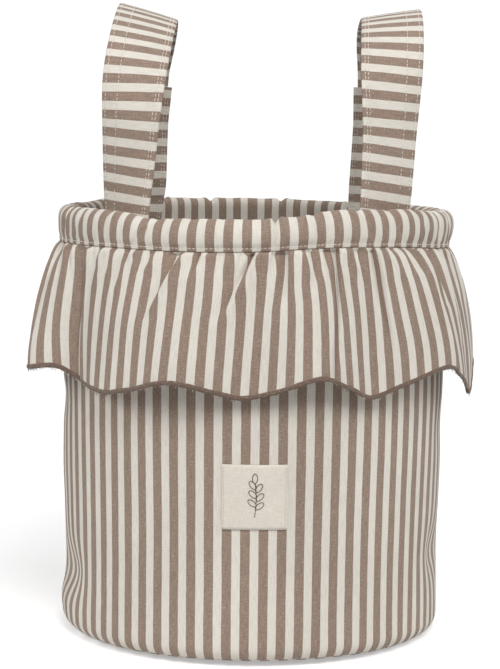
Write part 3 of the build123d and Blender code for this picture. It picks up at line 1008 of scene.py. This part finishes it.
# ---------------------------------------------------------------- strap loops
FOOT_CENTRE = (FOOT_LOW + FOOT_HIGH) / 2
FOOT_ANGLE = math.atan2(FOOT_CENTRE.x, -FOOT_CENTRE.y)
STRAP_RADIUS = math.hypot(FOOT_CENTRE.x, FOOT_CENTRE.y)
LOOP_HEIGHT = LOOP_TOP - STRAP_THICKNESS / 2 - RIM_TOP
TAIL_RADIUS = TAIL_HIGH.y / math.cos(FOOT_ANGLE) - (STRAP_WIDTH + STRAP_THICKNESS) / 2
TAIL_END = TAIL_LOW.z - RIM_TOP
STRAP_STEP = 3.0 * MM         # from one cross-section of a strap to the next
FRONT_BEND, BACK_BEND = 2 * MM, -3 * MM  # where the feet start to bend, from the rim up
BACK_LENGTH = 4 * MM          # where the back strap's stripes start, past the loop's slack
FOOT_SEAM = 5 * MM            # from a foot's lower end to the stitches across it
END_SEAM = 3 * MM             # from a strap's end to the stitches across it
FACE = STRAP_THICKNESS / 2
STRAP_CROWN = 0.45 * MM       # how much fatter a strap is along its middle
EDGE_SEAM = STRAP_WIDTH / 2 - 2.8 * MM
CROSS_SEAM = 2 * EDGE_SEAM    # length of the stitches across a strap
TAPE_EDGE_OUT = TAPE_WIDTH / 2 + 1.2 * MM
SEWN_LINES = (EDGE_SEAM, -EDGE_SEAM, TAPE_EDGE_OUT - TAPE_SHIFT, -TAPE_EDGE_OUT - TAPE_SHIFT + 0.6 * MM)
TAPE_OFFSET = FACE + 0.1 * MM + TAPE_THICKNESS / 2
# How each loop hangs, by height above the rim in millimetres: its turn in degrees about its own length,
# and its drift outwards and backwards in millimetres, on the way up at the front and down at the back
LOOP_HANG = {
    "left": {
        "front": (
            (-20, 45, 0, 0), (0, 44, -0.7, 0), (12, 41, -1.2, -0.6), (64, 24, -3.7, -6),
            (90, 6, -5.6, -7.4), (103, -4, -7.2, -7), (125, -12, -10.6, -4.4), (138, -16, -13, -2),
        ),
        "back": (
            (-20, 45, 0, 0), (0, 38, -1, 0), (12, 30, -1.6, -0.6), (22, 28, -1.6, -1),
            (60, 31, -3, -2.4), (97, 20, -5.6, -3), (125, -4, -10.4, -2.6), (138, -16, -13, -2),
        ),
        "arch": 1.0,
        "slack": 29.4,
    },
    "right": {
        "front": (
            (-20, 45, 0, 0), (0, 39, 0, 0), (12, 35, 1.3, 1.6), (56, 30, 3.8, 9), (80, 20, 4.4, 11),
            (103, 6, 4.9, 11), (125, -5, 5.8, 8), (138, -9, 6.5, 5),
        ),
        "back": (
            (-20, 45, 0, 0), (0, 44, 0.2, 0), (12, 42, 1, 1), (60, 38, 4.6, 4), (97, 28, 6, 5.6),
            (125, 4, 6.4, 5.6), (138, -9, 6.5, 5),
        ),
        "arch": 0.72,
        "slack": 27.2,
    },
}


class Station:
    """One cross-section of a strap: its centre, the direction across it, outwards, and the length so far."""

    def __init__(self, centre, across, outward, length=0.0):
        self.centre, self.across, self.outward, self.length = centre, across, outward, length

    def at(self, across, outward=0.0):
        return self.centre + self.across * across + self.outward * outward


def hung(side, end, foot, height):
    """A centre point above its foot, with the loop's drift there, and its turn."""
    heights, *columns = zip(*LOOP_HANG[side][end])
    turn, outward, backward = (float(np.interp(height / MM, heights, column)) for column in columns)
    return foot + Vector((0, 0, RIM_TOP + height)) + Vector((outward, backward, 0)) * MM, turn


def foot_place(end, radius):
    forward = -1 if end == "front" else 1
    return Vector((math.sin(FOOT_ANGLE), forward * math.cos(FOOT_ANGLE), 0)) * radius


def leg(side, end, radius, low, high):
    """Centre points of an upright stretch, as (centre, turn)."""
    return [hung(side, end, foot_place(end, radius), height) for height in spaced(low, high, STRAP_STEP)]


def arch(side, count):
    """Centre points over the top of a loop, from the front spring to the back spring."""
    front, back = foot_place("front", STRAP_RADIUS), foot_place("back", TAIL_RADIUS)
    made = []
    for k in range(1, count):
        turn = math.pi * k / count
        end = "front" if turn <= math.pi / 2 else "back"
        spring = LEG_STRAIGHT if end == "front" else TAIL_STRAIGHT
        height = spring + (LOOP_HEIGHT - spring) * math.sin(turn) ** LOOP_HANG[side]["arch"]
        made.append(hung(side, end, front + (back - front) * (1 - math.cos(turn)) / 2, height))
    return made


def smoothed(values):
    """The values with each one drawn towards its neighbours, three times over."""
    for _ in range(3):
        middle = ((a + b * 2 + c) / 4 for a, b, c in zip(values, values[1:], values[2:]))
        values = [values[0], *middle, values[-1]]
    return values


def framed(run):
    """Stations along centre points, listed from the front foot towards the back one."""
    centres, turns = (smoothed(list(values)) for values in zip(*run))
    made = []
    for k, centre in enumerate(centres):
        ahead = centres[min(k + 1, len(run) - 1)] - centres[max(k - 1, 0)]
        tangent = ahead.normalized()
        twist = math.radians(turns[k])
        level = (Vector((1, 0, 0)) - tangent * tangent.x).normalized()
        across = level * math.cos(twist) - level.cross(tangent) * math.sin(twist)
        made.append(Station(centre, across, across.cross(tangent)))
    return made


def back_leg(side, radius, low, high):
    """Stations of an upright stretch at the back, from its foot up."""
    return framed(leg(side, "back", radius, high, low))[::-1]


def measure(stations):
    """The stations, with each one's length from the first filled in."""
    for before, now in zip(stations, stations[1:]):
        now.length = before.length + (now.centre - before.centre).length
    return stations


def ribbon(work, stations, width, thickness, shift=0.0, offset=0.0, crown=0.0, first_length=0.0):
    """A flat band of cloth with rolled edges along stations, closed at both ends."""
    half, edge = width / 2, thickness / 2
    faces = [(x / 6 * (half - edge), 1.0) for x in range(6, -7, -1)]
    turns = [math.pi * quarter / 4 for quarter in (1, 2, 3)]
    roll = [(-half + edge * (1 - math.sin(t)), math.cos(t)) for t in turns]
    profile = faces + roll + [(x, -y) for x, y in reversed(faces)] + [(-x, y) for x, y in reversed(roll)]
    rows, u, v = [], [], []
    for k, station in enumerate(stations):
        sway = 0.35 * MM * noise.noise(Vector((station.centre.z * 22, shift * 900, station.centre.y * 9)))
        row = []
        for x, y in profile:
            bulge = crown * (1 - (x / half) ** 2) * (y > 0)
            row.append(station.at(x + shift + sway, offset + y * edge + bulge))
        rows.append(row)
        u.append([first_length + station.length] * (len(profile) + 1))
        v.append([x for x, _ in profile] + [profile[0][0]])
    # A second ring close to each end keeps the shading of the caps off the faces
    for end, inner in ((0, 1), (-1, -2)):
        close = [a + (b - a) * 0.03 for a, b in zip(rows[end], rows[inner])]
        close_u = [a + (b - a) * 0.03 for a, b in zip(u[end], u[inner])]
        for table, row in ((rows, close), (u, close_u), (v, list(v[end]))):
            table.insert(1 if end == 0 else len(table) - 1, row)
    base = work.grid(rows, u, v, wrap_columns=True)
    last = base + (len(rows) - 1) * len(profile)
    work.cap([base + k for k in range(len(profile))], (u[0][0], 0.0))
    work.cap([last + k for k in reversed(range(len(profile)))], (u[-1][0], 0.0))


def along_stations(stations, length):
    """Centre, across and outward at a length along the stations."""
    for before, now in zip(stations, stations[1:]):
        if length <= now.length:
            share = (length - before.length) / max(1e-9, now.length - before.length)
            return Station(
                before.centre.lerp(now.centre, share),
                before.across.lerp(now.across, share).normalized(),
                before.outward.lerp(now.outward, share).normalized(),
            )
    return stations[-1]


def strap_stitch(work, start, end, outward):
    """A stitch between two (station, across), on the face that outward is on."""
    normal = start[0].outward * (1 if outward > 0 else -1)
    work.stitch(start[0].at(start[1], outward), end[0].at(end[1], outward), normal)


def seam_line(work, stations, across, outward, margin):
    """A row of stitches along a strap, at a distance across it."""
    total = stations[-1].length - margin
    for k in range(int((total - margin) / STITCH)):
        start = along_stations(stations, margin + k * STITCH)
        end = along_stations(stations, margin + (k + STITCH_SEEN) * STITCH)
        strap_stitch(work, (start, across), (end, across), outward)


def cross_seam(work, station, outward):
    """A row of stitches across a strap."""
    count = int(CROSS_SEAM / STITCH)
    for k in range(count):
        x = -CROSS_SEAM / 2 + CROSS_SEAM * k / count
        strap_stitch(work, (station, x), (station, x + 0.66 * STITCH), outward)


def strap_piece(work, name, side, materials, slot_name, *nodes):
    """Builds a piece of a loop; the left one is the right one's mirror image."""
    if side == "left":
        work.points = [(-p[0], p[1], p[2]) for p in work.points]
    piece = work.build(f"{side}_{name}", materials)
    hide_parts(*(f"{side}_{node}" for node in nodes))
    return piece


def strap_cloth(stations, first_length, margin=1.5 * MM):
    """A sewn strap: two layers of cloth, with its rows of stitches on both faces."""
    work = Patchwork()
    ribbon(work, stations, STRAP_WIDTH, STRAP_THICKNESS, crown=STRAP_CROWN, first_length=first_length)
    for across in SEWN_LINES:
        lift = STRAP_CROWN * (1 - (2 * across / STRAP_WIDTH) ** 2)
        seam_line(work, stations, across, FACE + lift, margin)
        seam_line(work, stations, across, -FACE, margin)
    return work


def free_strap(stations, first_length):
    """A strap with stitches across its free end."""
    work = strap_cloth(stations, first_length)
    station = along_stations(stations, stations[-1].length - END_SEAM)
    cross_seam(work, station, FACE + STRAP_CROWN * 0.4)
    cross_seam(work, station, -FACE)
    return work


def tape_strip(stations, offset):
    work = Patchwork()
    ribbon(work, stations, TAPE_WIDTH, TAPE_THICKNESS, -TAPE_SHIFT, offset)
    return work


def build_loop(side):
    """All the pieces of one strap loop."""
    slack = LOOP_HANG[side]["slack"] * MM
    sewn_cloth = ([striped, cream_thread], "striped_cotton")

    # Long strap, in one length over the top of the loop, with its sewn end
    sewn = leg(side, "front", STRAP_RADIUS, FOOT_LOW.z - RIM_TOP, FRONT_RISE)
    rising = leg(side, "front", STRAP_RADIUS, FRONT_RISE, LEG_STRAIGHT)[1:]
    falling = leg(side, "back", TAIL_RADIUS, TAIL_STRAIGHT, TAIL_END)
    whole = framed(sewn + rising + arch(side, 72) + falling)
    front_foot = [Station(s.centre, s.across, s.outward) for s in whole[:len(sewn)]]
    stations = measure(whole[len(sewn) - 1:])
    total = stations[-1].length
    work = free_strap(stations, slack + FRONT_RISE - HINGE_RISE)
    long_strap = strap_piece(work, "long_strap_cloth", side, *sewn_cloth, "long_strap", "strap_tail")
    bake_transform(long_strap)

    # Loop tape along its inside
    tape_low = max(MM, TAPE_LOW - RIM_TOP - FRONT_RISE)
    work = tape_strip([s for s in stations if tape_low < s.length < total - END_SEAM], -TAPE_OFFSET)
    nodes = ("loop_tape", "tail_loop_tape")
    tape = strap_piece(work, "loop_tape_strip", side, [loop_cloth], "loop_tape", *nodes)
    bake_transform(tape)

    # Short strap and its hook tape
    short = measure(back_leg(side, STRAP_RADIUS, HINGE_RISE, SHORT_TOP - RIM_TOP))
    work = free_strap(short, slack + BACK_LENGTH)
    short_strap = strap_piece(work, "short_strap_cloth", side, *sewn_cloth, "short_strap")
    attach(short_strap, f"{side}_short")
    hook_run = measure(back_leg(side, STRAP_RADIUS, HOOK_LOW.z - RIM_TOP, HOOK_HIGH.z - RIM_TOP))
    work = tape_strip(hook_run, TAPE_OFFSET + STRAP_CROWN * 0.5)
    hooks = strap_piece(work, "hook_tape_strip", side, [hook_cloth], "hook_tape", "hook_tape")
    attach(hooks, f"{side}_short")

    # Sewn ends, which reach from inside the band up to where the straps move
    back_foot = back_leg(side, STRAP_RADIUS, FOOT_LOW.z - RIM_TOP, HINGE_RISE)
    for end_name, foot, body, length, low, high in (
        ("front", front_foot, "strap", FRONT_RISE - HINGE_RISE, FRONT_BEND, FRONT_RISE),
        ("back", back_foot, "short", BACK_LENGTH, BACK_BEND, HINGE_RISE),
    ):
        measure(foot)
        work = strap_cloth(foot, slack + length - foot[-1].length, margin=0.0)
        cross_seam(work, along_stations(foot, FOOT_SEAM), -FACE)
        piece = strap_piece(work, f"{end_name}_foot_cloth", side, *sewn_cloth, f"{end_name}_foot")
        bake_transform(piece)


for loop_side in ("right", "left"):
    build_loop(loop_side)


# ---------------------------------------------------------------- floor, light and camera
CAMERA_DISTANCE = 1.55
CAMERA_HEIGHT = 0.390
CAMERA_SIDE = -2.3 * MM
CAMERA_PITCH = math.radians(6.6)
CAMERA_ROLL = math.radians(0.55)
FOCAL_PIXELS = 2160
LONG_SIDE = 669               # pixels of the picture's longer side
FLOOR_GLOW = 0.40             # keeps the floor near white, as the backdrop is
FLOOR_FADE = (0.32, 1.05)     # distances over which the floor fades out
LIGHT_AIM = Vector((0, 0, 0.2))
WORLD_LIGHT, WORLD_SEEN = 0.25, 1.05  # the backdrop's strength as a light, and to the camera
# Each area light: its name, place, size and power
LIGHTS = (
    ("key", (0.45, -1.75, 2.05), 1.0, 38), ("fill", (-1.9, -0.9, 1.4), 1.2, 24),
    ("right fill", (2.0, -0.8, 1.4), 1.2, 15), ("back", (0.2, 1.6, 2.2), 1.5, 7),
)


def mix_shader(tree, share, first, second):
    """Mixes two shaders and feeds them to the tree's output."""
    mixed = tree.nodes.new("ShaderNodeMixShader")
    for socket, given in zip(mixed.inputs, (share, first, second)):
        tree.links.new(given, socket)
    output = next(node for node in tree.nodes if node.name.endswith("Output"))
    tree.links.new(mixed.outputs[0], output.inputs[0])


camera_data = bpy.data.cameras.new("camera")
camera_data.sensor_width = 36
camera_data.lens = FOCAL_PIXELS * camera_data.sensor_width / LONG_SIDE
camera = in_scene("camera", camera_data)
aim = Euler((math.pi / 2 - CAMERA_PITCH, 0, 0)).to_matrix().to_4x4() @ Matrix.Rotation(CAMERA_ROLL, 4, "Z")
camera.matrix_world = Matrix.Translation((CAMERA_SIDE, -CAMERA_DISTANCE, CAMERA_HEIGHT)) @ aim
bpy.context.scene.camera = camera

floor_mesh = bpy.data.meshes.new("floor")
floor_shape = bmesh.new()
bmesh.ops.create_grid(floor_shape, x_segments=8, y_segments=8, size=1.5)
floor_shape.to_mesh(floor_mesh)
floor_shape.free()
floor = in_scene("floor", floor_mesh)
floor.location.z = -0.2 * MM
floor_paint = Nodes("floor_paint")
grain = floor_paint.node("ShaderNodeTexNoise")
grain.inputs["Scale"].default_value = 40
pale = floor_paint.mix(grain.outputs[0], (0.84, 0.84, 0.84, 1), (0.87, 0.87, 0.87, 1))
floor_paint.paint(pale)
seen_by_camera = floor_paint.node("ShaderNodeLightPath").outputs["Is Camera Ray"]
floor_paint.shader.inputs["Emission Color"].default_value = (1, 1, 1, 1)
glow = floor_paint.math("MULTIPLY", seen_by_camera, FLOOR_GLOW)
floor_paint.link(glow, floor_paint.shader.inputs["Emission Strength"])
far = floor_paint.node("ShaderNodeVectorMath", operation="LENGTH")
floor_paint.link(floor_paint.node("ShaderNodeTexCoord").outputs["Object"], far.inputs[0])
faded = floor_paint.range(far.outputs["Value"], *FLOOR_FADE)
clear = floor_paint.node("ShaderNodeBsdfTransparent").outputs[0]
mix_shader(floor_paint.tree, faded, floor_paint.shader.outputs[0], clear)
floor_mesh.materials.append(floor_paint.finish(0.8))
floor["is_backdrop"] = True

for name, place, size, power in LIGHTS:
    lamp = bpy.data.lights.new(name, "AREA")
    lamp.shape = "SQUARE"
    lamp.size = size
    lamp.energy = power
    light = in_scene(name, lamp)
    light.location = place
    light.rotation_euler = (LIGHT_AIM - Vector(place)).to_track_quat("-Z", "Y").to_euler()

world = bpy.data.worlds.new("studio")
world.use_nodes = True
sky = world.node_tree.nodes["Background"]
seen = world.node_tree.nodes.new("ShaderNodeBackground")
for background, strength in ((sky, WORLD_LIGHT), (seen, WORLD_SEEN)):
    background.inputs[0].default_value = (1, 1, 1, 1)
    background.inputs[1].default_value = strength
ray = world.node_tree.nodes.new("ShaderNodeLightPath")
mix_shader(world.node_tree, ray.outputs["Is Camera Ray"], sky.outputs[0], seen.outputs[0])
bpy.context.scene.world = world
bpy.context.scene.view_settings.view_transform = "Standard"
bpy.context.scene.view_settings.look = "None"

low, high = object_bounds()
